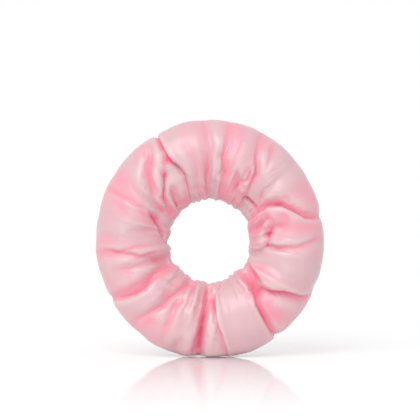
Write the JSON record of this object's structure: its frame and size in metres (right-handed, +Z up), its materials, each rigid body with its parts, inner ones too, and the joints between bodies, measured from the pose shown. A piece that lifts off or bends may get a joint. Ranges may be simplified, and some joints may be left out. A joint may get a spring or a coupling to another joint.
{
  "type": "scrunchie",
  "caption": "Gathered satin hair tie: a sewn cloth tube ruched over a loop of flat elastic, with a round opening that pulls wide sideways and springs back.",
  "frame": {"origin": "on the surface that the ring stands on, under the middle of its flattened lower edge", "axes": "+Z up through the ring's height, Y along the ring's own axis with the face towards -Y, +X to the right seen from the face and along the pull"},
  "size_m": [0.11, 0.032, 0.1145],
  "materials": {
    "satin": "soft sheen",
    "elastic": "matt braid",
    "thread": "satin"
  },
  "bodies": {
    "left_half": {"cover_left": "satin", "elastic_band": "elastic", "elastic_join_stitches": "thread", "long_seam_thread": "thread", "closing_seam_thread": "thread", "gap_stitches": "thread"},
    "right_half": {"cover_right": "satin"}
  },
  "joints": [
    {"name": "stretch", "type": "slide", "parent": "left_half", "child": "right_half", "axis": [1, 0, 0], "range_m": [0, 0.08], "stiffness_N_per_m": 80, "deforming": ["elastic_band", "long_seam_thread"]}
  ]
}
